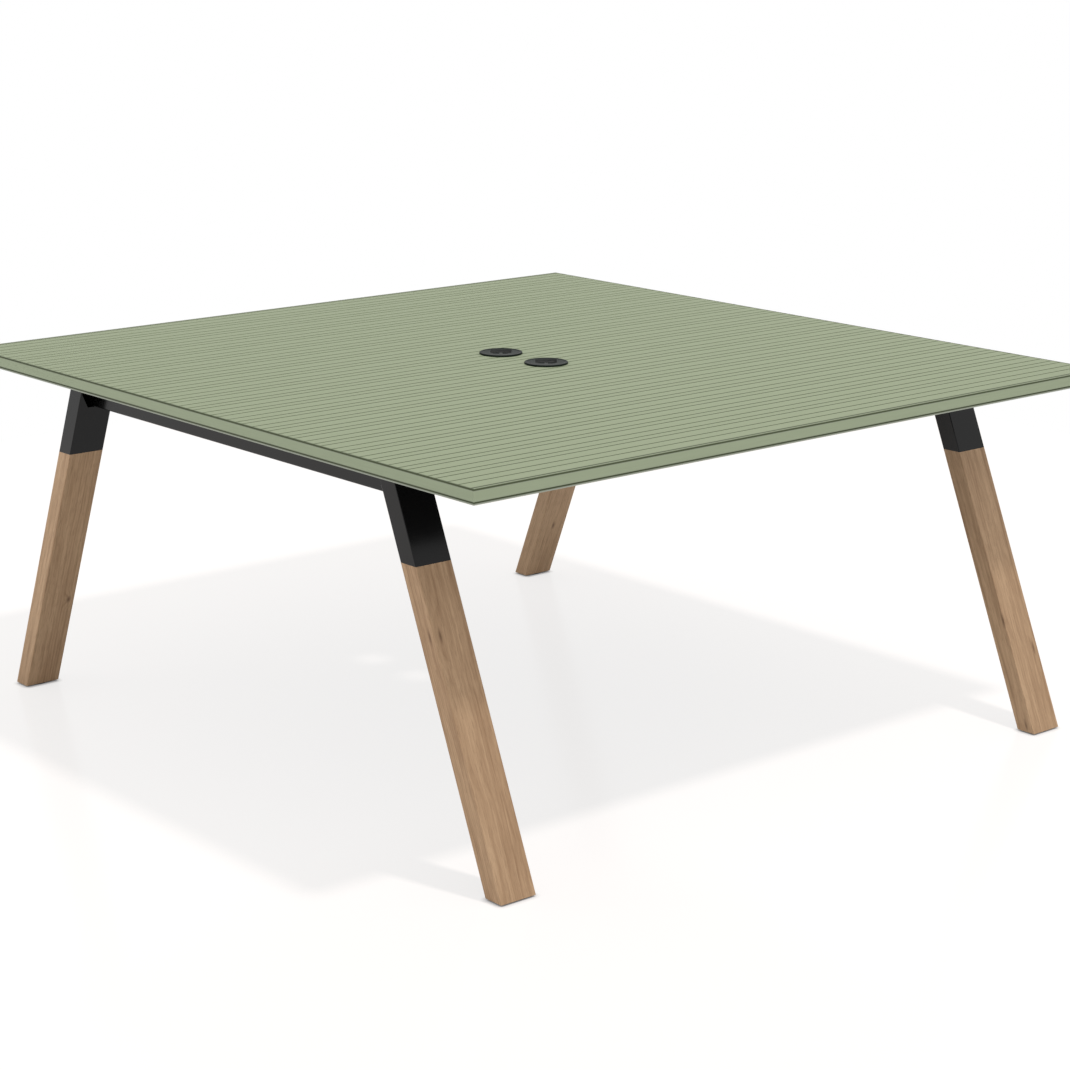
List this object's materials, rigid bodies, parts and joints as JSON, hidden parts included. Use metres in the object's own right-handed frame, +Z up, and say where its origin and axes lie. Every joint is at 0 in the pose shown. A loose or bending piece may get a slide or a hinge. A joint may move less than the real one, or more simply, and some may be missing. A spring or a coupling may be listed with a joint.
{
  "type": "double desk",
  "caption": "Square shared desk: grooved sage-green top with cable grommets, black steel underframe and splayed oak legs on levelling glides.",
  "frame": {"origin": "on the floor, under the middle of the desktop", "axes": "+X along the users' long edge, the way the grooves run; +Y in the depth, from the front user to the back user, the way the legs splay; +Z up"},
  "size_m": [1.6, 1.665, 0.7396],
  "materials": {
    "striped_decor": "matt grooved laminate",
    "core_board": "particle board, dark grey backing sheet below",
    "oak": "oiled oak",
    "black_steel": "black powder coat",
    "black_plastic": "moulded, fine satin",
    "glide_plastic": "moulded nylon",
    "zinc_steel": "zinc plated"
  },
  "bodies": {
    "frame": {"beam_bolts": "zinc_steel", "beam_end_plate_back_left": "black_steel", "beam_end_plate_back_right": "black_steel", "beam_end_plate_front_left": "black_steel", "beam_end_plate_front_right": "black_steel", "beam_lug_back": "black_steel", "beam_lug_front": "black_steel", "beam_nuts": "zinc_steel", "cross_beam_back": "black_steel", "cross_beam_front": "black_steel", "desktop_core": "core_board", "desktop_face": "striped_decor", "edge_band_back": "striped_decor", "edge_band_front": "striped_decor", "edge_band_left": "striped_decor", "edge_band_right": "striped_decor", "end_rail_left": "black_steel", "end_rail_right": "black_steel", "foot_inserts": "zinc_steel", "grommet_liner_back": "black_plastic", "grommet_liner_front": "black_plastic", "leg_back_left": "oak", "leg_back_right": "oak", "leg_bolts": "zinc_steel", "leg_front_left": "oak", "leg_front_right": "oak", "leg_inserts": "zinc_steel", "leg_socket_back_left": "black_steel", "leg_socket_back_right": "black_steel", "leg_socket_front_left": "black_steel", "leg_socket_front_right": "black_steel", "lug_screws": "zinc_steel", "rail_lug_back_left": "black_steel", "rail_lug_back_right": "black_steel", "rail_lug_front_left": "black_steel", "rail_lug_front_right": "black_steel", "rail_lug_middle_left": "black_steel", "rail_lug_middle_right": "black_steel", "socket_seat_back_left": "black_steel", "socket_seat_back_right": "black_steel", "socket_seat_front_left": "black_steel", "socket_seat_front_right": "black_steel", "top_inserts": "zinc_steel"},
    "port_cap_front": {"grommet_cap_front": "black_plastic"},
    "port_cap_back": {"grommet_cap_back": "black_plastic"},
    "leveller_front_left": {"leveller_pad_front_left": "glide_plastic", "leveller_stud_front_left": "zinc_steel"},
    "leveller_front_right": {"leveller_pad_front_right": "glide_plastic", "leveller_stud_front_right": "zinc_steel"},
    "leveller_back_left": {"leveller_pad_back_left": "glide_plastic", "leveller_stud_back_left": "zinc_steel"},
    "leveller_back_right": {"leveller_pad_back_right": "glide_plastic", "leveller_stud_back_right": "zinc_steel"}
  },
  "joints": [
    {"name": "cap_turn_front", "type": "hinge", "parent": "frame", "child": "port_cap_front", "pos_m": [0, -0.0713, 0.736], "axis": [0, 0, 1], "continuous": true},
    {"name": "cap_turn_back", "type": "hinge", "parent": "frame", "child": "port_cap_back", "pos_m": [0, 0.0713, 0.736], "axis": [0, 0, 1], "continuous": true},
    {"name": "level_front_left", "type": "slide", "parent": "frame", "child": "leveller_front_left", "axis": [0, 0, -1], "range_m": [0, 0.01]},
    {"name": "level_front_right", "type": "slide", "parent": "frame", "child": "leveller_front_right", "axis": [0, 0, -1], "range_m": [0, 0.01]},
    {"name": "level_back_left", "type": "slide", "parent": "frame", "child": "leveller_back_left", "axis": [0, 0, -1], "range_m": [0, 0.01]},
    {"name": "level_back_right", "type": "slide", "parent": "frame", "child": "leveller_back_right", "axis": [0, 0, -1], "range_m": [0, 0.01]}
  ]
}
